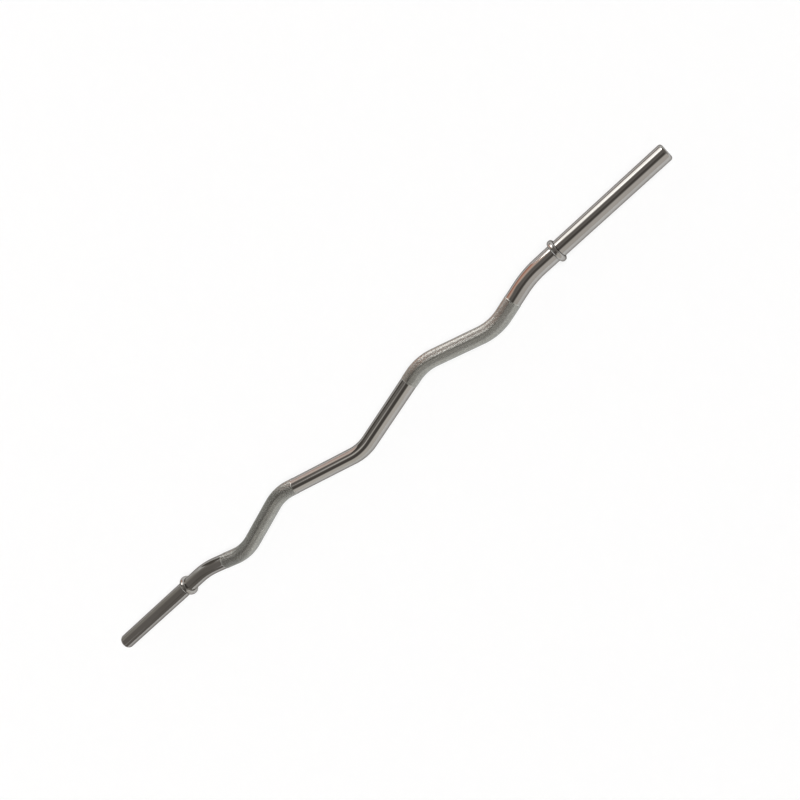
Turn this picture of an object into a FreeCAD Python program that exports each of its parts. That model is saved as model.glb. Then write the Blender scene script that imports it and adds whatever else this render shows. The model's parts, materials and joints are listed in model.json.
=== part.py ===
"""EZ curl bar: one bent steel rod with a stop ring pressed on near each end."""
import FreeCAD, Part
import Sketcher
import math
import os

# Driving sizes, in millimetres. X runs along the sleeves, and the bends lie in the body's XY plane.
SIZES = {
    # Round steel rod, one inch thick
    "bar_diameter": 25.4,
    "end_edge_radius": 4.0,
    # Runs along X, from the middle of the bar out to one end
    "centre_run": 163.0,
    "inner_grip_run": 117.0,
    "outer_grip_run": 84.0,
    "shoulder_length": 46.0,
    "sleeve_length": 181.0,
    # Bend points off the sleeves' axis
    "centre_depth": 27.0,
    "peak_rise": 11.0,
    "valley_depth": 22.5,
    # Bends, measured on the rod's centre line
    "grip_bend_radius": 85.0,
    "join_bend_radius": 150.0,
    # Knurled bands: how far they stand out, and their straight lengths past the grip bends
    "knurl_rise": 0.4,
    "knurl_inner_length": 12.5,
    "knurl_outer_length": 23.5,
    # Stop rings and the raised seats that they are pressed on
    "ring_width": 9.0,
    "ring_outer_diameter": 34.8,
    "ring_edge_radius": 4.0,
    "seat_rise": 0.3,
    # The most of a ring's half width or wall that its rounded edges may take
    "ring_edge_limit_share": 0.95,
}

SIDES = {"left": -1, "right": 1}

# Sketcher's numbers for the points of an edge, and for a sketch's own axes and origin
START, END, CENTRE = range(1, 4)
X_AXIS, Y_AXIS = range(-1, -3, -1)
ORIGIN = (X_AXIS, START)

# Places worked out from the driving sizes, as expressions
PEAK_X = "Sizes.centre_run"
VALLEY_X = f"({PEAK_X} + Sizes.inner_grip_run)"
JOIN_X = f"({VALLEY_X} + Sizes.outer_grip_run)"
RING_INNER_X = f"({JOIN_X} + Sizes.shoulder_length)"
RING_CENTRE_X = f"({RING_INNER_X} + Sizes.ring_width / 2)"
RING_OUTER_X = f"({RING_INNER_X} + Sizes.ring_width)"
END_X = f"({RING_OUTER_X} + Sizes.sleeve_length)"
ROD_RADIUS = "(Sizes.bar_diameter / 2)"
KNURL_RADIUS = f"({ROD_RADIUS} + Sizes.knurl_rise)"
SEAT_RADIUS = f"({ROD_RADIUS} + Sizes.seat_rise)"
RING_RADIUS = "(Sizes.ring_outer_diameter / 2)"
RING_EDGE_ROOM = f"(Sizes.ring_edge_limit_share * min(Sizes.ring_width / 2; {RING_RADIUS} - {SEAT_RADIUS}))"
RING_EDGE = f"min(Sizes.ring_edge_radius; {RING_EDGE_ROOM})"

# The bend in the middle of the bar: X, which is on the axis, Y and radius
CENTRE_BEND = (None, "-Sizes.centre_depth", "Sizes.grip_bend_radius")

# Slopes of the runs beside the bends, and how far each bend's arc cuts inside its bend point
CENTRE_SLOPE = "atan((Sizes.peak_rise + Sizes.centre_depth) / Sizes.centre_run)"
INNER_SLOPE = "atan((Sizes.peak_rise + Sizes.valley_depth) / Sizes.inner_grip_run)"
CENTRE_CUT = f"(Sizes.grip_bend_radius * (1 / cos({CENTRE_SLOPE}) - 1))"
PEAK_TILT = f"(({INNER_SLOPE} - {CENTRE_SLOPE}) / 2)"
PEAK_HALF_TURN = f"(({INNER_SLOPE} + {CENTRE_SLOPE}) / 2)"
PEAK_CUT = f"(Sizes.grip_bend_radius * (cos({PEAK_TILT}) / cos({PEAK_HALF_TURN}) - 1))"
CENTRE_REACH = f"(Sizes.centre_depth - {CENTRE_CUT})"
PEAK_REACH = f"(Sizes.peak_rise - {PEAK_CUT})"

# At rest the bar leans on both rings and on its centre bend, with the origin under the box's middle
REST_TILT = f"asin(({RING_RADIUS} - {ROD_RADIUS}) / {CENTRE_REACH})"
REST_Y = f"((({CENTRE_REACH} - {PEAK_REACH}) * cos({REST_TILT}) + {ROD_RADIUS} - {KNURL_RADIUS}) / 2)"


def signed(side, expression):
    """The expression, turned negative on the left."""
    return expression if SIDES[side] > 0 else f"-{expression}"


def make_sheet(doc):
    """A spreadsheet with one named cell for each driving size."""
    sheet = doc.addObject("Spreadsheet::Sheet", "Sizes")
    for row, (name, value) in enumerate(SIZES.items(), start=1):
        sheet.set(f"A{row}", name)
        sheet.set(f"B{row}", str(value))
        sheet.setAlias(f"B{row}", name)
    doc.recompute()
    return sheet


def origin_plane(body, role):
    """One of the body's own origin planes."""
    return next(plane for plane in body.Origin.OriginFeatures if plane.Role == role)


def new_sketch(body, name, role=None):
    """A sketch of the body, on one of its origin planes where a role is given."""
    sketch = body.newObject("Sketcher::SketchObject", name)
    if role:
        sketch.AttachmentSupport = [(origin_plane(body, role), "")]
        sketch.MapMode = "FlatFace"
    return sketch


def bind(sketch, constraint, expression):
    """Add a size to the sketch and tie it to the sheet."""
    index = sketch.addConstraint(constraint)
    sketch.setExpression(f"Constraints[{index}]", expression)


def value_of(sheet, expression):
    """What an expression comes to now, as a plain number."""
    return float(sheet.evalExpression(expression))


def add_circle(sketch, sheet, radius):
    """A circle round the sketch's origin."""
    size = value_of(sheet, radius)
    circle = sketch.addGeometry(Part.Circle(FreeCAD.Vector(), FreeCAD.Vector(0, 0, 1), size))
    sketch.addConstraint(Sketcher.Constraint("Coincident", circle, CENTRE, *ORIGIN))
    bind(sketch, Sketcher.Constraint("Radius", circle, size), radius)


def add_guide_point(sketch, sheet, places):
    """A bend point of the path, tied to the sheet; None stands for a place on the axis."""
    x, y = (value_of(sheet, place) if place else 0.0 for place in places)
    guide = sketch.addGeometry(Part.Point(FreeCAD.Vector(x, y, 0)), True)
    for kind, place, axis, size in zip(("DistanceX", "DistanceY"), places, (Y_AXIS, X_AXIS), (x, y)):
        if place:
            bind(sketch, Sketcher.Constraint(kind, *ORIGIN, guide, START, size), place)
        else:
            sketch.addConstraint(Sketcher.Constraint("PointOnObject", guide, START, axis))
    return guide, FreeCAD.Vector(x, y, 0)


def bend_arc(before, corner, after, radius):
    """The arc that rounds a corner, its two ends in path order, and whether it runs clockwise."""
    back = (before - corner).normalize()
    ahead = (after - corner).normalize()
    middle = (back + ahead).normalize()
    half_angle = middle.getAngle(ahead)
    centre = corner + middle * (radius / math.sin(half_angle))
    reach = (centre - corner).dot(ahead)
    first = corner + back * reach
    last = corner + ahead * reach
    crown = centre - middle * radius
    arc = Part.Arc(first, crown, last)
    clockwise = (first - centre).cross(last - centre).z < 0
    return arc, first, last, clockwise


def draw_path(sketch, sheet, bends, lead_in=None, lead_out=None):
    """A chain of straight runs joined by tangent arcs, through fully tied bend points.

    The first and last bends end the path, or only aim its end runs where a lead gives their length.
    """
    guides, corners = zip(*(add_guide_point(sketch, sheet, bend[:2]) for bend in bends))
    radii = [bend[2] for bend in bends[1:-1]]
    arcs = [bend_arc(*corners[i:i + 3], value_of(sheet, radius)) for i, radius in enumerate(radii)]
    starts = [corners[0]] + [last for _, _, last, _ in arcs]
    ends = [first for _, first, _, _ in arcs] + [corners[-1]]
    if lead_in:
        starts[0] = ends[0] + (starts[0] - ends[0]).normalize() * value_of(sheet, lead_in)
    if lead_out:
        ends[-1] = starts[-1] + (ends[-1] - starts[-1]).normalize() * value_of(sheet, lead_out)

    runs = []
    for number, (start, end) in enumerate(zip(starts, ends)):
        runs.append(sketch.addGeometry(Part.LineSegment(start, end)))
        if number < len(arcs):
            sketch.addGeometry(arcs[number][0])
    for number, (_, _, _, clockwise) in enumerate(arcs):
        before, arc, after = runs[number], runs[number] + 1, runs[number + 1]
        first, last = (END, START) if clockwise else (START, END)
        sketch.addConstraint(Sketcher.Constraint("Tangent", before, END, arc, first))
        sketch.addConstraint(Sketcher.Constraint("Tangent", arc, last, after, START))
        bind(sketch, Sketcher.Constraint("Radius", arc, value_of(sheet, radii[number])), radii[number])
        for run in (before, after):
            sketch.addConstraint(Sketcher.Constraint("PointOnObject", guides[number + 1], START, run))
    for which, point, lead in ((0, START, lead_in), (-1, END, lead_out)):
        run, guide = runs[which], guides[which]
        if lead:
            sketch.addConstraint(Sketcher.Constraint("PointOnObject", guide, START, run))
            bind(sketch, Sketcher.Constraint("Distance", run, value_of(sheet, lead)), lead)
        else:
            sketch.addConstraint(Sketcher.Constraint("Coincident", run, point, guide, START))


def add_pipe(body, sheet, name, path, radius):
    """A round section carried along a path, square to its first run."""
    profile = new_sketch(body, f"{name}_section")
    profile.AttachmentSupport = [(path, "Edge1")]
    profile.MapMode = "NormalToEdge"
    profile.MapPathParameter = 0
    add_circle(profile, sheet, radius)
    pipe = body.newObject("PartDesign::AdditivePipe", name)
    pipe.Profile = profile
    pipe.Spine = path
    body.Document.recompute()
    return pipe


def half_bends(side):
    """The bends of one half, from the middle of the bar outwards: X, Y and radius."""
    return [
        (signed(side, PEAK_X), "Sizes.peak_rise", "Sizes.grip_bend_radius"),
        (signed(side, VALLEY_X), "-Sizes.valley_depth", "Sizes.grip_bend_radius"),
        (signed(side, JOIN_X), None, "Sizes.join_bend_radius"),
    ]


def add_rod(body, sheet):
    """The bent rod itself, from the left end to the right end."""
    path = new_sketch(body, "rod_path", "XY_Plane")
    left_end, right_end = ((signed(side, END_X), None) for side in SIDES)
    bends = [left_end, *half_bends("left")[::-1], CENTRE_BEND, *half_bends("right"), right_end]
    draw_path(path, sheet, bends)
    body.Document.recompute()
    return add_pipe(body, sheet, "rod", path, ROD_RADIUS)


def add_knurl_band(body, sheet, side):
    """The land that a grip's knurling raises, from past its peak to past its valley."""
    path = new_sketch(body, f"{side}_knurl_path", "XY_Plane")
    bends = [CENTRE_BEND, *half_bends(side)]
    draw_path(path, sheet, bends, "Sizes.knurl_inner_length", "Sizes.knurl_outer_length")
    body.Document.recompute()
    return add_pipe(body, sheet, f"{side}_knurl_band", path, KNURL_RADIUS)


def add_ring_seat(body, sheet, side):
    """The raised seat under a stop ring, as wide as the ring."""
    circle = new_sketch(body, f"{side}_seat_circle", "YZ_Plane")
    add_circle(circle, sheet, SEAT_RADIUS)
    inner_face = RING_INNER_X if SIDES[side] > 0 else f"-{RING_OUTER_X}"
    circle.setExpression("AttachmentOffset.Base.z", inner_face)
    seat = body.newObject("PartDesign::Pad", f"{side}_seat")
    seat.Profile = circle
    seat.setExpression("Length", "Sizes.ring_width")
    body.Document.recompute()
    return seat


def circles_of(feature, radius, along=None):
    """Names of the feature's round edges of this radius, and at this distance along X where given."""
    names = []
    for number, edge in enumerate(feature.Shape.Edges, start=1):
        round_edge = isinstance(edge.Curve, Part.Circle) and abs(edge.Curve.Radius - radius) < edge.Tolerance
        if round_edge and (along is None or abs(abs(edge.Curve.Center.x) - along) < edge.Tolerance):
            names.append(f"Edge{number}")
    return names


def add_end_rounds(body, sheet, base):
    """The rounded rims at the two ends of the rod."""
    rims = circles_of(base, value_of(sheet, ROD_RADIUS), value_of(sheet, END_X))
    rounds = body.newObject("PartDesign::Fillet", "end_rounds")
    rounds.Base = (base, rims)
    rounds.setExpression("Radius", "Sizes.end_edge_radius")


def set_at_rest(body, sheet, side=None):
    """Lean the body as the bar lies, with its sleeve axis one ring radius above the floor."""
    tilt = FreeCAD.Rotation(FreeCAD.Vector(1, 0, 0), value_of(sheet, REST_TILT))
    body.Placement = FreeCAD.Placement(FreeCAD.Vector(), tilt)
    body.setExpression("Placement.Rotation.Angle", REST_TILT)
    if side:
        body.setExpression("Placement.Base.x", signed(side, RING_CENTRE_X))
    body.setExpression("Placement.Base.y", REST_Y)
    body.setExpression("Placement.Base.z", RING_RADIUS)


def make_bar(doc, sheet):
    """The one-piece bar: bent rod, knurled bands, ring seats and rounded ends."""
    body = doc.addObject("PartDesign::Body", "bar")
    add_rod(body, sheet)
    for side in SIDES:
        add_knurl_band(body, sheet, side)
    for side in SIDES:
        last = add_ring_seat(body, sheet, side)
    add_end_rounds(body, sheet, last)
    set_at_rest(body, sheet)
    return body


def add_ring_section(body, sheet, side):
    """Half of the ring's cut face: a rectangle from the bore out to the crown."""
    section = new_sketch(body, f"{side}_ring_section", "XY_Plane")
    width, bore, crown = (value_of(sheet, size) for size in ("Sizes.ring_width", SEAT_RADIUS, RING_RADIUS))
    low, high = -width / 2, width / 2
    places = ((low, bore), (high, bore), (high, crown), (low, crown))
    corners = [FreeCAD.Vector(*place, 0) for place in places]
    for corner, following in zip(corners, corners[1:] + corners[:1]):
        section.addGeometry(Part.LineSegment(corner, following))
    bottom, right, top, left = range(len(corners))
    for line, following in ((bottom, right), (right, top), (top, left), (left, bottom)):
        section.addConstraint(Sketcher.Constraint("Coincident", line, END, following, START))
    for line, direction in ((right, "Vertical"), (top, "Horizontal"), (left, "Vertical")):
        section.addConstraint(Sketcher.Constraint(direction, line))
    section.addConstraint(Sketcher.Constraint("Symmetric", bottom, START, bottom, END, Y_AXIS))
    bind(section, Sketcher.Constraint("DistanceX", bottom, START, bottom, END, width), "Sizes.ring_width")
    bind(section, Sketcher.Constraint("DistanceY", *ORIGIN, bottom, START, bore), SEAT_RADIUS)
    bind(section, Sketcher.Constraint("DistanceY", *ORIGIN, top, START, crown), RING_RADIUS)
    return section


def make_stop_ring(doc, sheet, side):
    """A ring with rounded outer edges, bored to sit tight on its seat."""
    body = doc.addObject("PartDesign::Body", f"{side}_stop_ring")
    section = add_ring_section(body, sheet, side)
    ring = body.newObject("PartDesign::Revolution", f"{side}_ring")
    ring.Profile = section
    ring.ReferenceAxis = (section, ["H_Axis"])
    doc.recompute()
    edges = body.newObject("PartDesign::Fillet", f"{side}_ring_edges")
    edges.Base = (ring, circles_of(ring, value_of(sheet, RING_RADIUS)))
    edges.setExpression("Radius", RING_EDGE)
    set_at_rest(body, sheet, side)
    return body


def check(doc, parts):
    """Stop on any object that failed, or any piece that isn't one sound solid."""
    failed = [obj.Name for obj in doc.Objects if {"Invalid", "Error"} & set(obj.State)]
    if failed:
        raise RuntimeError(f"objects failed: {failed}")
    for part in parts:
        shape = part.Shape
        if shape.isNull() or not shape.isValid() or len(shape.Solids) != 1:
            raise RuntimeError(f"{part.Label} isn't one sound solid")


def main():
    doc = FreeCAD.newDocument("ez_curl_bar")
    sheet = make_sheet(doc)
    parts = [make_bar(doc, sheet), *(make_stop_ring(doc, sheet, side) for side in SIDES)]
    doc.recompute()
    check(doc, parts)
    os.makedirs("parts", exist_ok=True)
    for part in parts:
        part.Shape.exportStep(f"parts/{part.Label}.step")


main()
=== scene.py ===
"""EZ curl bar: chrome bar with knurled grips and two stop rings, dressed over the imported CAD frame."""

import json
import math
from typing import NamedTuple

import bpy
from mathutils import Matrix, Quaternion, Vector


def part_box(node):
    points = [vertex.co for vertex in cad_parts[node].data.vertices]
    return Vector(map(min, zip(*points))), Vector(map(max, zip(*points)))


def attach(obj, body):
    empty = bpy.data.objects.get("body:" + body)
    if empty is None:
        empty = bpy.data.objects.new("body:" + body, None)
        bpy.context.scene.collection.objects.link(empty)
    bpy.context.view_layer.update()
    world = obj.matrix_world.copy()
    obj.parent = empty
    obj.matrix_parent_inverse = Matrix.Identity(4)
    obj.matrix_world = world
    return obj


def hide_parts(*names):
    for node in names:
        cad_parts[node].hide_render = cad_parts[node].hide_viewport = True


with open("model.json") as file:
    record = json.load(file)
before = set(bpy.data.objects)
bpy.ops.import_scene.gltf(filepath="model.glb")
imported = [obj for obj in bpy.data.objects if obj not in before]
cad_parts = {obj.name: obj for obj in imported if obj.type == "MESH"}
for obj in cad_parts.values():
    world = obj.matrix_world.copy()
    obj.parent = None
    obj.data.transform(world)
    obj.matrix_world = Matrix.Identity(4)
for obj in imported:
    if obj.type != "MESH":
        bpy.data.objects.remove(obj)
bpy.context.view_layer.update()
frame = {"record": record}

MM = 0.001

# Sizes that the frame gives: the sleeves' axis and radius, the bar's ends and the rings
SLEEVE = next(mount for mount in frame["record"]["mounts"] if mount["name"] == "right_sleeve")
SLEEVE_AXIS = Vector((0, *SLEEVE["pos_m"][1:]))
BAR_RADIUS = SLEEVE["dims"]["r_mm"] * MM
END_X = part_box("bar")[1].x
RING_LOW, RING_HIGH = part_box("right_stop_ring")
RING_RADIUS = (RING_HIGH.z - RING_LOW.z) / 2
RING_HALF_WIDTH = (RING_HIGH.x - RING_LOW.x) / 2

# Rounded ends, ring seats and rings
END_ROUND = 4 * MM
SEAT_RISE = 0.3 * MM
RING_EDGE = 4 * MM

# Knurled bands: height, groove depth, lengths past the grip bends, pitch, and the flat share of a diamond
KNURL_RISE = 0.4 * MM
KNURL_DEPTH = 0.23 * MM
KNURL_INNER = 12.5 * MM
KNURL_OUTER = 23.5 * MM
KNURL_STARTS = 54
KNURL_ROW = 1.32 * MM
DIAMOND_TOP = 0.15

# Mesh fineness: two columns for each knurl start, and one row for each step round a bend
COLUMNS = 2 * KNURL_STARTS
BEND_STEP = math.radians(2.5)
END_STEPS = 8
RING_COLUMNS = 128
RING_EDGE_STEPS = 10
CREASE_ANGLE = math.radians(25)

# Polished chrome: clear and hazy colour, tint at grazing angles, and what softens the mirror
CHROME_CLEAR = (0.43, 0.42, 0.405)
CHROME_HAZY = (0.39, 0.38, 0.36)
CHROME_EDGE = (0.22, 0.205, 0.195)
BAR_SOFTEST = 0.06
RING_SOFTEST = 0.12
LINE_SOFTNESS = 0.015
SCUFF_SOFTNESS = 0.05
LINE_HEIGHT = 0.002 * MM

# Knurled chrome: worn, dull and grimy colour, tint at grazing angles, and what softens the mirror
KNURL_WORN = (0.58, 0.587, 0.558)
KNURL_DULL = (0.36, 0.366, 0.347)
KNURL_GRIME = (0.215, 0.219, 0.205)
KNURL_EDGE = (0.36, 0.365, 0.345)
FLECK_SOFTNESS = (0.14, 0.27)
GRAIN_SOFTNESS = (-0.04, 0.06)
GRAIN_HEIGHT = 0.01 * MM
GRIME_SHARES = (0.5, 1)

# Textures: how fine each is along the bar and across it, and the part of its range that is used
HAZE_SCALE = (14, 45, 45)
LINE_SCALE = (5200, 60, 60)
SCUFF_SCALE = (26, 1900, 1900)
PATCH_SCALE = (30, 90, 90)
FLECK_SCALE = (620, 620, 620)
GRAIN_SCALE = (2600, 2600, 2600)
MIDDLE_RANGE = (0.3, 0.7)
HAZE_TINT_RANGE = (0.35, 0.7)
HAZE_SOFT_RANGE = (0.3, 0.75)
SCUFF_RANGE = (0.66, 0.74)
FLECK_RANGE = (0.35, 0.65)
GROOVE_RANGE = (0.45, 1)
WHOLE_RANGE = (0, 1)

# Camera, found from the photo: where it stands, the floor point that it looks at, roll and lens
CAMERA_PLACE = Vector((0.6058, -0.3134, 1.2046))
CAMERA_AIM = Vector((0.0934, 0.0049, 0))
CAMERA_ROLL = math.radians(-97.36)
CAMERA_LENS = 40.5
SENSOR_WIDTH = 36

# Studio: dim room, and pale sweep with a flat floor and a curved rim
ROOM_LIGHT = 0.23
ROOM_COLOUR = (1, 0.93, 0.87)
FLOOR_COLOUR = (0.92, 0.92, 0.92)
FLOOR_GLOW = 0.8
FLOOR_MIDDLE = 0.5
FLOOR_RADIUS = 6
SWEEP_RADIUS = 8
SWEEP_HEIGHT = 4.4
SWEEP_COLUMNS = 96
SWEEP_STEPS = 12

# The room that the chrome mirrors: where its walls and ceiling stand
WINDOW_WALL_Y = 1.2
GREY_WALL_Y = -0.8
DARK_WALL_Y = -0.85
RIGHT_WALL_X = 1.7
WALL_TOP = 2.2
CEILING_Z = 2.2

# Colours of the plain cards in that room, the same from foot to head
BROWN = (0.35, 0.26, 0.23)
PALE_GREY = (0.78, 0.74, 0.7)
CORNER_GREY = (0.22, 0.205, 0.19)
NEAR_BLACK = (0.12, 0.11, 0.1)
LAMP_WHITE = (1, 0.97, 0.92)


class Bend(NamedTuple):
    """A corner of the bar's centre line: X, offset from the sleeves' axis, and radius of the bend."""

    x: float
    offset: float
    radius: float


class Stretch(NamedTuple):
    """A straight run or an arc of the bar's centre line, from a spot and a heading on."""

    start: float
    length: float
    spot: Vector
    heading: float
    curvature: float


# Bends of the right half
GRIP_BEND = 85 * MM
JOIN_BEND = 150 * MM
CENTRE = Bend(0, -27 * MM, GRIP_BEND)
PEAK = Bend(163 * MM, 11 * MM, GRIP_BEND)
VALLEY = Bend(280 * MM, -22.5 * MM, GRIP_BEND)
JOIN = Bend(364 * MM, 0, JOIN_BEND)
END = Bend(END_X, 0, 0)

# Bends counted from the left end
LEFT_VALLEY, LEFT_PEAK, RIGHT_PEAK, RIGHT_VALLEY = 1, 2, 4, 5


class Path:
    """The bar's centre line as straight runs and arcs, in the plane of the bends."""

    def __init__(self, bends):
        self.stretches = []
        self.length = 0
        headings = [math.atan2(b.offset - a.offset, b.x - a.x) for a, b in zip(bends, bends[1:])]
        spot = Vector((bends[0].x, bends[0].offset))
        for heading, after, bend in zip(headings, [*headings[1:], headings[-1]], bends[1:]):
            turn = after - heading
            corner = Vector((bend.x, bend.offset))
            run = (corner - spot).length - bend.radius * math.tan(abs(turn) / 2)
            spot = self.add(spot, heading, run, 0)
            if turn:
                spot = self.add(spot, heading, bend.radius * abs(turn), math.copysign(1 / bend.radius, turn))

    def add(self, spot, heading, length, curvature):
        """Add a run or an arc, and return where it ends."""
        self.stretches.append(Stretch(self.length, length, spot, heading, curvature))
        self.length += length
        return self.at(self.length)[0]

    def at(self, station):
        """Spot and heading at a distance along the path."""
        stretch = [s for s in self.stretches if s.start <= station][-1]
        heading = stretch.heading
        along = station - stretch.start
        if not stretch.curvature:
            return stretch.spot + along * Vector((math.cos(heading), math.sin(heading))), heading
        end = heading + stretch.curvature * along
        sweep = Vector((math.sin(end) - math.sin(heading), math.cos(heading) - math.cos(end)))
        return stretch.spot + sweep / stretch.curvature, end

    def arc(self, index):
        """Where an arc starts and ends, counted from the left."""
        stretch = [s for s in self.stretches if s.curvature][index]
        return stretch.start, stretch.start + stretch.length

    def stations(self, start, end):
        """The rows that a smooth stretch needs: its ends, and steps round the arcs in it."""
        marks = {start, end}
        for stretch in self.stretches:
            steps = math.ceil(abs(stretch.curvature) * stretch.length / BEND_STEP)
            if steps:
                marks.update(stretch.start + stretch.length * step / steps for step in range(steps + 1))
        return sorted(mark for mark in marks if start <= mark <= end)


def all_bends():
    """Bends from the left end to the right one."""
    right = [PEAK, VALLEY, JOIN, END]
    left = [bend._replace(x=-bend.x) for bend in reversed(right)]
    return [*left, CENTRE, *right]


# The bar rests on its rings and its middle, which tips the plane of the bends
PATH = Path(all_bends())
CENTRE_REACH = -PATH.at(PATH.length / 2)[0].y
REST_TILT = math.asin((RING_RADIUS - BAR_RADIUS) / CENTRE_REACH)
BEND_SIDE = Vector((0, math.cos(REST_TILT), math.sin(REST_TILT)))
BEND_NORMAL = Vector((0, -math.sin(REST_TILT), math.cos(REST_TILT)))


def skin_point(station, angle, radius):
    """A point of the bar's skin, at a distance along the bar and an angle round it."""
    spot, heading = PATH.at(station)
    across = Vector((-math.sin(heading), 0, 0)) + math.cos(heading) * BEND_SIDE
    middle = SLEEVE_AXIS + Vector((spot.x, 0, 0)) + spot.y * BEND_SIDE
    return middle + radius * (math.cos(angle) * across + math.sin(angle) * BEND_NORMAL)


class Skin:
    """Vertices and faces of the bar, gathered row by row from the left end."""

    def __init__(self):
        self.vertices = []
        self.unbent = []
        self.grooves = []
        self.faces = []
        self.knurled = []
        self.row = None
        self.last = None

    def vertex(self, station, column, radius, groove=0):
        """Add a vertex, with its place on the straight rod and 1 where it is deep in a groove."""
        angle = math.tau * column / COLUMNS
        self.vertices.append(skin_point(station, angle, radius))
        self.unbent.append((station, radius * math.cos(angle), radius * math.sin(angle)))
        self.grooves.append(groove)
        return len(self.vertices) - 1

    def face(self, corners, knurled=False):
        """Add a face, seen from outside with its corners counterclockwise."""
        self.faces.append(corners)
        self.knurled.append(knurled)

    def add_row(self, station, radius):
        """Add a row round the bar and join it to the one before, unless it is that one."""
        if (station, radius) == self.last:
            return
        row = [self.vertex(station, column, radius) for column in range(COLUMNS)]
        if self.row:
            for column in range(COLUMNS):
                after = (column + 1) % COLUMNS
                self.face((self.row[column], self.row[after], row[after], row[column]))
        self.row = row
        self.last = (station, radius)

    def add_smooth(self, start, end, rise=0):
        """Plain rows from one station to another."""
        for station in PATH.stations(start, end):
            self.add_row(station, BAR_RADIUS + rise)

    def add_knurl(self, start, end):
        """Blunt diamonds between V grooves, from the last row on to another station."""
        bottom = BAR_RADIUS + KNURL_RISE - KNURL_DEPTH
        count = round((end - start) / KNURL_ROW)
        step = (end - start) / count
        rows = [dict(enumerate(self.row))]
        for index in range(1, count):
            columns = range((index + 1) % 2, COLUMNS, 2)
            rows.append({c: self.vertex(start + index * step, c, bottom, 1) for c in columns})
        rows.append({c: self.vertex(end, c, BAR_RADIUS) for c in range(COLUMNS)})
        for index in range(count + 1):
            for column in range(index % 2, COLUMNS, 2):
                if index == 0:
                    self.add_half_diamond(rows[0], column, rows[1], 1)
                elif index == count:
                    self.add_half_diamond(rows[count], column, rows[count - 1], -1)
                else:
                    self.add_diamond(rows, index, column, start + index * step, step)
        self.row = list(rows[-1].values())
        self.last = (end, BAR_RADIUS)

    def add_half_diamond(self, row, column, next_row, way):
        """The flat half of a diamond that is left at an end of a band."""
        before, after = (column - way) % COLUMNS, (column + way) % COLUMNS
        self.face((row[before], row[column], next_row[column]), True)
        self.face((row[column], row[after], next_row[column]), True)

    def add_diamond(self, rows, index, column, station, step):
        """One diamond: a small flat top and four sides that slope down to the grooves."""
        before, after = (column - 1) % COLUMNS, (column + 1) % COLUMNS
        valley = (rows[index][before], rows[index - 1][column], rows[index][after], rows[index + 1][column])
        crest = BAR_RADIUS + KNURL_RISE
        top = (
            self.vertex(station, column - DIAMOND_TOP, crest),
            self.vertex(station - step * DIAMOND_TOP, column, crest),
            self.vertex(station, column + DIAMOND_TOP, crest),
            self.vertex(station + step * DIAMOND_TOP, column, crest),
        )
        self.face(top, True)
        for corner in range(len(top)):
            following = (corner + 1) % len(top)
            self.face((valley[corner], valley[following], top[following], top[corner]), True)


def quarter_turn(steps):
    """Angles that divide a quarter turn evenly, with both its ends."""
    return [math.pi / 2 * step / steps for step in range(steps + 1)]


def end_rows():
    """Distance from the end and radius of each row round a rounded end, from its face to the rod."""
    rows = []
    for turn in quarter_turn(END_STEPS)[:-1]:
        inset = END_ROUND * (1 - math.cos(turn))
        rows.append((inset, BAR_RADIUS - END_ROUND * (1 - math.sin(turn))))
    return rows


def shape_bar():
    """The bar's skin: rounded ends, plain chrome, ring seats and knurled bands."""
    skin = Skin()
    left_seat = (END_X - RING_HIGH.x, END_X - RING_LOW.x)
    right_seat = (PATH.length - left_seat[1], PATH.length - left_seat[0])
    left_knurl = (PATH.arc(LEFT_VALLEY)[0] - KNURL_OUTER, PATH.arc(LEFT_PEAK)[1] + KNURL_INNER)
    right_knurl = (PATH.arc(RIGHT_PEAK)[0] - KNURL_INNER, PATH.arc(RIGHT_VALLEY)[1] + KNURL_OUTER)

    face_row, *rim_rows = end_rows()
    skin.add_row(*face_row)
    skin.face(skin.row[::-1])
    for inset, radius in rim_rows:
        skin.add_row(inset, radius)
    skin.add_smooth(END_ROUND, left_seat[0])
    skin.add_smooth(*left_seat, SEAT_RISE)
    skin.add_smooth(left_seat[1], left_knurl[0])
    skin.add_knurl(*left_knurl)
    skin.add_smooth(left_knurl[1], right_knurl[0])
    skin.add_knurl(*right_knurl)
    skin.add_smooth(right_knurl[1], right_seat[0])
    skin.add_smooth(*right_seat, SEAT_RISE)
    skin.add_smooth(right_seat[1], PATH.length - END_ROUND)
    for inset, radius in reversed(end_rows()):
        skin.add_row(PATH.length - inset, radius)
    skin.face(skin.row)
    return skin


def new_object(name, data):
    """Put a mesh, a light or a camera in the scene."""
    obj = bpy.data.objects.new(name, data)
    bpy.context.scene.collection.objects.link(obj)
    return obj


def make_bar():
    """The bar's mesh in two finishes, polished and knurled, in place of the CAD bar."""
    skin = shape_bar()
    mesh = bpy.data.meshes.new("chrome_bar")
    mesh.from_pydata(skin.vertices, [], skin.faces)
    mesh.polygons.foreach_set("material_index", [int(knurled) for knurled in skin.knurled])
    mesh.polygons.foreach_set("use_smooth", [not knurled for knurled in skin.knurled])
    mesh.set_sharp_from_angle(angle=CREASE_ANGLE)
    unbent = mesh.attributes.new("unbent", "FLOAT_VECTOR", "POINT")
    unbent.data.foreach_set("vector", [number for place in skin.unbent for number in place])
    groove = mesh.attributes.new("groove", "FLOAT", "POINT")
    groove.data.foreach_set("value", skin.grooves)
    mesh.materials.append(bar_chrome())
    mesh.materials.append(knurled_chrome())
    bar = new_object("chrome_bar", mesh)
    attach(bar, "root")
    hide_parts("bar")


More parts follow.
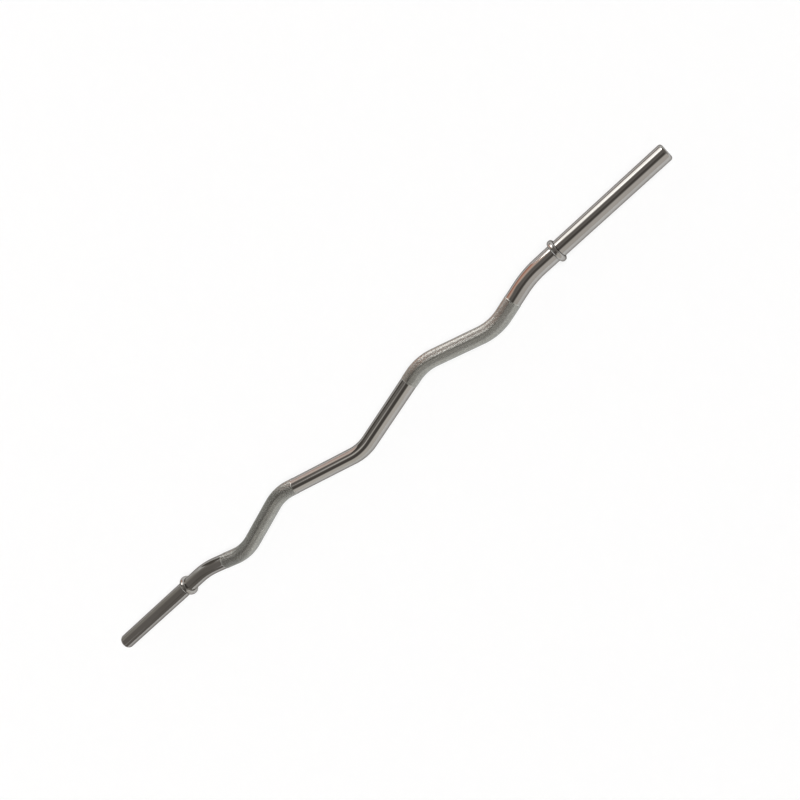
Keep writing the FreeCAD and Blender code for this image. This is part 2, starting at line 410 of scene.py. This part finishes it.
def ring_profile():
    """The ring's section as (X from its middle, radius), once round from the bore."""
    bore = BAR_RADIUS + SEAT_RISE
    flat, rim = RING_HALF_WIDTH - RING_EDGE, RING_RADIUS - RING_EDGE
    turns = quarter_turn(RING_EDGE_STEPS)
    right = [(flat + RING_EDGE * math.cos(turn), rim + RING_EDGE * math.sin(turn)) for turn in turns]
    left = [(-x, radius) for x, radius in reversed(right)]
    return [(RING_HALF_WIDTH, bore), *right, *left, (-RING_HALF_WIDTH, bore)]


def make_ring(side, chrome):
    """A turned ring with rounded edges, in place of a CAD ring."""
    low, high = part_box(f"{side}_stop_ring")
    middle = (low + high) / 2
    profile = ring_profile()
    vertices = []
    for column in range(RING_COLUMNS):
        angle = math.tau * column / RING_COLUMNS
        outward = Vector((0, math.cos(angle), math.sin(angle)))
        vertices += [middle + Vector((x, 0, 0)) + radius * outward for x, radius in profile]
    faces = []
    for column in range(RING_COLUMNS):
        here = column * len(profile)
        there = (column + 1) % RING_COLUMNS * len(profile)
        for point in range(len(profile)):
            following = (point + 1) % len(profile)
            faces.append((here + point, here + following, there + following, there + point))
    mesh = bpy.data.meshes.new(f"{side}_chrome_ring")
    mesh.from_pydata(vertices, [], faces)
    mesh.polygons.foreach_set("use_smooth", [True] * len(faces))
    mesh.set_sharp_from_angle(angle=CREASE_ANGLE)
    mesh.materials.append(chrome)
    ring = new_object(f"{side}_chrome_ring", mesh)
    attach(ring, "root")
    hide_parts(f"{side}_stop_ring")


def new_material(name):
    """An empty node material, with its output's surface socket."""
    material = bpy.data.materials.new(name)
    material.use_nodes = True
    nodes = material.node_tree.nodes
    nodes.clear()
    return material, nodes.new("ShaderNodeOutputMaterial").inputs["Surface"]


def link(tree, source, target):
    """Join an output socket to an input socket."""
    tree.links.new(source, target)


def attribute(tree, name):
    """The outputs of a value that the mesh carries under a name."""
    node = tree.nodes.new("ShaderNodeAttribute")
    node.attribute_name = name
    return node.outputs


def noise(tree, place, scale, detail=3):
    """Noise from a place vector, stretched by a scale along each axis."""
    stretch = tree.nodes.new("ShaderNodeMapping")
    stretch.inputs["Scale"].default_value = scale
    texture = tree.nodes.new("ShaderNodeTexNoise")
    texture.inputs["Scale"].default_value = 1
    texture.inputs["Detail"].default_value = detail
    link(tree, place, stretch.inputs["Vector"])
    link(tree, stretch.outputs["Vector"], texture.inputs["Vector"])
    return texture.outputs["Fac"]


def spread(tree, value, source, target=WHOLE_RANGE):
    """Map a value from one range to another, held inside it."""
    node = tree.nodes.new("ShaderNodeMapRange")
    for name, number in zip(("From Min", "From Max", "To Min", "To Max"), (*source, *target)):
        node.inputs[name].default_value = number
    link(tree, value, node.inputs["Value"])
    return node.outputs["Result"]


def blend_colours(tree, factor, first, second):
    """A colour between two others."""
    node = tree.nodes.new("ShaderNodeMix")
    node.data_type = "RGBA"
    for socket, colour in (("A_Color", first), ("B_Color", second)):
        target = next(entry for entry in node.inputs if entry.identifier == socket)
        if isinstance(colour, tuple):
            target.default_value = (*colour, 1)
        else:
            link(tree, colour, target)
    link(tree, factor, next(entry for entry in node.inputs if entry.identifier == "Factor_Float"))
    return next(entry for entry in node.outputs if entry.identifier == "Result_Color")


def combine(tree, operation, first, second):
    """Two values, or a value and a number, joined by one sum."""
    node = tree.nodes.new("ShaderNodeMath")
    node.operation = operation
    for socket, value in zip(node.inputs, (first, second)):
        if isinstance(value, (int, float)):
            socket.default_value = value
        else:
            link(tree, value, socket)
    return node.outputs["Value"]


def bump(tree, height, distance):
    """A normal that is tilted by a height."""
    node = tree.nodes.new("ShaderNodeBump")
    node.inputs["Distance"].default_value = distance
    link(tree, height, node.inputs["Height"])
    return node.outputs["Normal"]


def mix_shaders(tree, share, first, second, surface):
    """Two shaders mixed by a share, joined to the material's output."""
    mix = tree.nodes.new("ShaderNodeMixShader")
    link(tree, share, mix.inputs["Fac"])
    link(tree, first, mix.inputs[1])
    link(tree, second, mix.inputs[2])
    link(tree, mix.outputs["Shader"], surface)


def metal(tree, surface, edge_tint):
    """A metal shader's sockets, with the shader joined to the material's output."""
    shader = tree.nodes.new("ShaderNodeBsdfPrincipled")
    shader.inputs["Metallic"].default_value = 1
    shader.inputs["Specular Tint"].default_value = (*edge_tint, 1)
    link(tree, shader.outputs["BSDF"], surface)
    return shader.inputs


def polish(tree, surface, place, softest):
    """Bright plate with faint polishing lines, hazy patches and a few lengthwise scuffs."""
    haze = noise(tree, place, HAZE_SCALE)
    lines = noise(tree, place, LINE_SCALE, detail=1)
    scuffs = spread(tree, noise(tree, place, SCUFF_SCALE, detail=2), SCUFF_RANGE)

    shader = metal(tree, surface, CHROME_EDGE)
    tint = spread(tree, haze, HAZE_TINT_RANGE)
    link(tree, blend_colours(tree, tint, CHROME_CLEAR, CHROME_HAZY), shader["Base Color"])
    hazy = spread(tree, haze, HAZE_SOFT_RANGE, (softest / 2, softest))
    lined = combine(tree, "ADD", hazy, spread(tree, lines, MIDDLE_RANGE, (0, LINE_SOFTNESS)))
    scuffed = combine(tree, "ADD", lined, combine(tree, "MULTIPLY", scuffs, SCUFF_SOFTNESS))
    link(tree, scuffed, shader["Roughness"])
    link(tree, bump(tree, lines, LINE_HEIGHT), shader["Normal"])


def bar_chrome():
    """The bar's polish, which follows the rod round its bends."""
    material, surface = new_material("polished_chrome")
    tree = material.node_tree
    polish(tree, surface, attribute(tree, "unbent")["Vector"], BAR_SOFTEST)
    return material


def ring_chrome():
    """The rings' polish, a little softer than the bar's."""
    material, surface = new_material("ring_chrome")
    tree = material.node_tree
    polish(tree, surface, tree.nodes.new("ShaderNodeTexCoord").outputs["Object"], RING_SOFTEST)
    return material


def knurled_chrome():
    """Plated knurl: worn bright flecks, and grooves dulled by chalk and hand grime."""
    material, surface = new_material("knurled_chrome")
    tree = material.node_tree
    place = attribute(tree, "unbent")["Vector"]
    groove = attribute(tree, "groove")["Fac"]
    patches = noise(tree, place, PATCH_SCALE)
    flecks = spread(tree, noise(tree, place, FLECK_SCALE, detail=2), FLECK_RANGE)
    grain = noise(tree, place, GRAIN_SCALE, detail=2)

    shader = metal(tree, surface, KNURL_EDGE)
    worn = blend_colours(tree, flecks, KNURL_WORN, KNURL_DULL)
    deep = spread(tree, groove, GROOVE_RANGE)
    grime = combine(tree, "MULTIPLY", deep, spread(tree, patches, MIDDLE_RANGE, GRIME_SHARES))
    link(tree, blend_colours(tree, grime, worn, KNURL_GRIME), shader["Base Color"])
    flecked = spread(tree, flecks, WHOLE_RANGE, FLECK_SOFTNESS)
    rough = combine(tree, "ADD", flecked, spread(tree, grain, MIDDLE_RANGE, GRAIN_SOFTNESS))
    link(tree, rough, shader["Roughness"])
    link(tree, bump(tree, grain, GRAIN_HEIGHT), shader["Normal"])
    return material


def sweep_material():
    """Pale paper, partly lit from within where the camera or a mirror sees it, so that it stays even."""
    material, surface = new_material("pale_sweep")
    tree = material.node_tree
    paper = tree.nodes.new("ShaderNodeBsdfDiffuse")
    paper.inputs["Color"].default_value = (*FLOOR_COLOUR, 1)
    glow = tree.nodes.new("ShaderNodeEmission")
    ray = tree.nodes.new("ShaderNodeLightPath").outputs
    seen = combine(tree, "MAXIMUM", ray["Is Camera Ray"], ray["Is Glossy Ray"])
    seen = combine(tree, "MAXIMUM", seen, ray["Is Transmission Ray"])
    share = combine(tree, "MULTIPLY", seen, FLOOR_GLOW)
    mix_shaders(tree, share, paper.outputs["BSDF"], glow.outputs["Emission"], surface)
    return material


def make_sweep():
    """A round pale floor that curves up at its rim."""
    profile = [(FLOOR_MIDDLE, 0), (FLOOR_RADIUS, 0)]
    for turn in quarter_turn(SWEEP_STEPS)[1:]:
        reach = FLOOR_RADIUS + (SWEEP_RADIUS - FLOOR_RADIUS) * math.sin(turn)
        profile.append((reach, SWEEP_HEIGHT * (1 - math.cos(turn))))
    vertices = []
    for column in range(SWEEP_COLUMNS):
        angle = math.tau * column / SWEEP_COLUMNS
        vertices += [(radius * math.cos(angle), radius * math.sin(angle), z) for radius, z in profile]
    faces = [[column * len(profile) for column in range(SWEEP_COLUMNS)]]
    for column in range(SWEEP_COLUMNS):
        here, there = column * len(profile), (column + 1) % SWEEP_COLUMNS * len(profile)
        faces += [(here + p, here + p + 1, there + p + 1, there + p) for p in range(len(profile) - 1)]
    mesh = bpy.data.meshes.new("sweep")
    mesh.from_pydata(vertices, [], faces)
    mesh.polygons.foreach_set("use_smooth", [True] * len(faces))
    mesh.materials.append(sweep_material())
    new_object("sweep", mesh)


def card_material(name, foot, head, size, fades):
    """A glow that blends from the foot's colour to the head's, and fades out at the card's edges."""
    material, surface = new_material(name)
    tree = material.node_tree
    place = tree.nodes.new("ShaderNodeSeparateXYZ")
    link(tree, tree.nodes.new("ShaderNodeTexCoord").outputs["UV"], place.inputs["Vector"])
    across, up = place.outputs["X"], place.outputs["Y"]
    glow = tree.nodes.new("ShaderNodeEmission")
    link(tree, blend_colours(tree, up, foot, head), glow.inputs["Color"])

    width, height = size
    side_fade, foot_fade, head_fade = fades
    shares = (side_fade / width, side_fade / width, foot_fade / height, head_fade / height)
    edges = (across, combine(tree, "SUBTRACT", 1, across), up, combine(tree, "SUBTRACT", 1, up))
    shown = 1.0
    for edge, share in zip(edges, shares):
        if share:
            shown = combine(tree, "MULTIPLY", shown, spread(tree, edge, (0, share)))
    clear = tree.nodes.new("ShaderNodeBsdfTransparent")
    mix_shaders(tree, shown, clear.outputs["BSDF"], glow.outputs["Emission"], surface)
    return material


def make_card(name, corner, across, up, foot, head, fades):
    """A glowing card from a corner and two sides, seen only in the chrome.

    Its fades are how far its sides, its foot and its head take to fade out.
    """
    corner, across, up = Vector(corner), Vector(across), Vector(up)
    mesh = bpy.data.meshes.new(name)
    mesh.from_pydata([corner, corner + across, corner + across + up, corner + up], [], [(0, 1, 2, 3)])
    flat = mesh.uv_layers.new(name="card")
    flat.data.foreach_set("uv", (0, 0, 1, 0, 1, 1, 0, 1))
    mesh.materials.append(card_material(name, foot, head, (across.length, up.length), fades))
    card = new_object(name, mesh)
    card.visible_camera = False
    card.visible_diffuse = False
    card.visible_shadow = False


def wall_card(name, y, x_range, z_range, foot, head, fades):
    """A card that stands along X."""
    (left, right), (bottom, top) = x_range, z_range
    make_card(name, (left, y, bottom), (right - left, 0, 0), (0, 0, top - bottom), foot, head, fades)


def ceiling_card(name, corner, width, depth, colour, fades):
    """A card of one colour that lies under the ceiling."""
    make_card(name, (*corner, CEILING_Z), (width, 0, 0), (0, depth, 0), colour, colour, fades)


def make_window_wall():
    """The wall behind the bar: a tall window, a warm panel beside it, and a dark door to the left."""
    wall_card("window", WINDOW_WALL_Y, x_range=(0.12, 0.9), z_range=(0.2, 2.3),
              foot=(2.3, 2.25, 2.2), head=(2.05, 2, 1.95), fades=(0.1, 0.45, 1.1))
    wall_card("brown_strip", WINDOW_WALL_Y, x_range=(0.12, 0.9), z_range=(0, 0.4),
              foot=BROWN, head=BROWN, fades=(0.1, 0, 0.2))
    wall_card("warm_panel", WINDOW_WALL_Y, x_range=(-0.4, 0.22), z_range=(0, 2.1),
              foot=(0.58, 0.19, 0.1), head=(1.65, 1.4, 1.22), fades=(0.1, 0, 1.3))
    wall_card("cream_panel", WINDOW_WALL_Y, x_range=(-0.66, -0.3), z_range=(0, 1.4),
              foot=(0.9, 0.64, 0.56), head=(1.4, 1.24, 1.13), fades=(0.08, 0, 0.7))
    wall_card("dark_door", WINDOW_WALL_Y, x_range=(-1.15, -0.6), z_range=(0, 1.9),
              foot=(0.16, 0.145, 0.13), head=(0.1, 0.09, 0.08), fades=(0.08, 0, 0.2))
    wall_card("left_wall", WINDOW_WALL_Y, x_range=(-3, -1.1), z_range=(0, WALL_TOP),
              foot=(0.46, 0.44, 0.41), head=(0.33, 0.31, 0.28), fades=(0.4, 0, 1))


def make_camera_walls():
    """The walls on the camera's side: grey in front, dark above and to the left."""
    wall_card("grey_wall", GREY_WALL_Y, x_range=(-0.98, 0.15), z_range=(0, 1.1),
              foot=(0.88, 0.84, 0.79), head=(0.86, 0.82, 0.76), fades=(0.1, 0, 0.4))
    wall_card("high_grey_wall", GREY_WALL_Y, x_range=(0.05, 1.8), z_range=(0, 1.5),
              foot=PALE_GREY, head=PALE_GREY, fades=(0.1, 0, 0.6))
    wall_card("dark_corner", DARK_WALL_Y, x_range=(-2.6, -0.9), z_range=(0, 1.2),
              foot=CORNER_GREY, head=CORNER_GREY, fades=(0.12, 0, 0.4))
    wall_card("dark_wall", DARK_WALL_Y, x_range=(-1.8, 1.2), z_range=(0.6, CEILING_Z),
              foot=NEAR_BLACK, head=NEAR_BLACK, fades=(0.2, 0.2, 0))


def make_sides_and_ceiling():
    """The dark wall past the right end, and a lamp panel and a dark beam overhead."""
    make_card("right_wall", corner=(RIGHT_WALL_X, DARK_WALL_Y, 0),
              across=(0, WINDOW_WALL_Y - DARK_WALL_Y, 0), up=(0, 0, WALL_TOP),
              foot=(0.28, 0.26, 0.24), head=(0.2, 0.185, 0.17), fades=(0.2, 0, 0.6))
    ceiling_card("ceiling_panel", corner=(-1.4, 0.1), width=0.6, depth=0.8,
                 colour=LAMP_WHITE, fades=(0.15, 0.2, 0.2))
    ceiling_card("dark_beam", corner=(-1.8, DARK_WALL_Y), width=3, depth=0.7,
                 colour=NEAR_BLACK, fades=(0.2, 0, 0.2))


def make_lamp(name, azimuth, elevation, width, strength):
    """A broad far light; its angles are in degrees, with azimuth from X towards Y. Returns its object."""
    light = bpy.data.lights.new(name, "SUN")
    light.energy = strength
    light.angle = math.radians(width)
    lamp = new_object(name, light)
    turn, rise = math.radians(azimuth), math.radians(elevation)
    towards = Vector((math.cos(rise) * math.cos(turn), math.cos(rise) * math.sin(turn), math.sin(rise)))
    lamp.rotation_mode = "QUATERNION"
    lamp.rotation_quaternion = towards.to_track_quat("Z", "Y")
    return lamp


def make_lights():
    """A dim room, a lamp for the floor that the chrome doesn't mirror, and one for the chrome alone."""
    world = bpy.data.worlds.new("room")
    world.use_nodes = True
    room = world.node_tree.nodes["Background"].inputs
    room["Color"].default_value = (*ROOM_COLOUR, 1)
    room["Strength"].default_value = ROOM_LIGHT
    bpy.context.scene.world = world

    floor_light = make_lamp("floor_light", azimuth=-32, elevation=63, width=40, strength=2.6)
    floor_light.visible_glossy = False
    window_light = make_lamp("window_light", azimuth=84, elevation=36, width=30, strength=2.6)
    window_light.visible_diffuse = False


def make_camera():
    """The camera at the photo's view."""
    data = bpy.data.cameras.new("camera")
    data.lens = CAMERA_LENS
    data.sensor_width = SENSOR_WIDTH
    camera = new_object("camera", data)
    camera.location = CAMERA_PLACE
    camera.rotation_mode = "QUATERNION"
    upright = (CAMERA_AIM - CAMERA_PLACE).to_track_quat("-Z", "Y")
    camera.rotation_quaternion = upright @ Quaternion((0, 0, 1), CAMERA_ROLL)
    bpy.context.scene.camera = camera


make_bar()
shared_ring_chrome = ring_chrome()
make_ring("left", shared_ring_chrome)
make_ring("right", shared_ring_chrome)
make_sweep()
make_lights()
make_window_wall()
make_camera_walls()
make_sides_and_ceiling()
make_camera()
bpy.context.scene.view_settings.view_transform = "Standard"
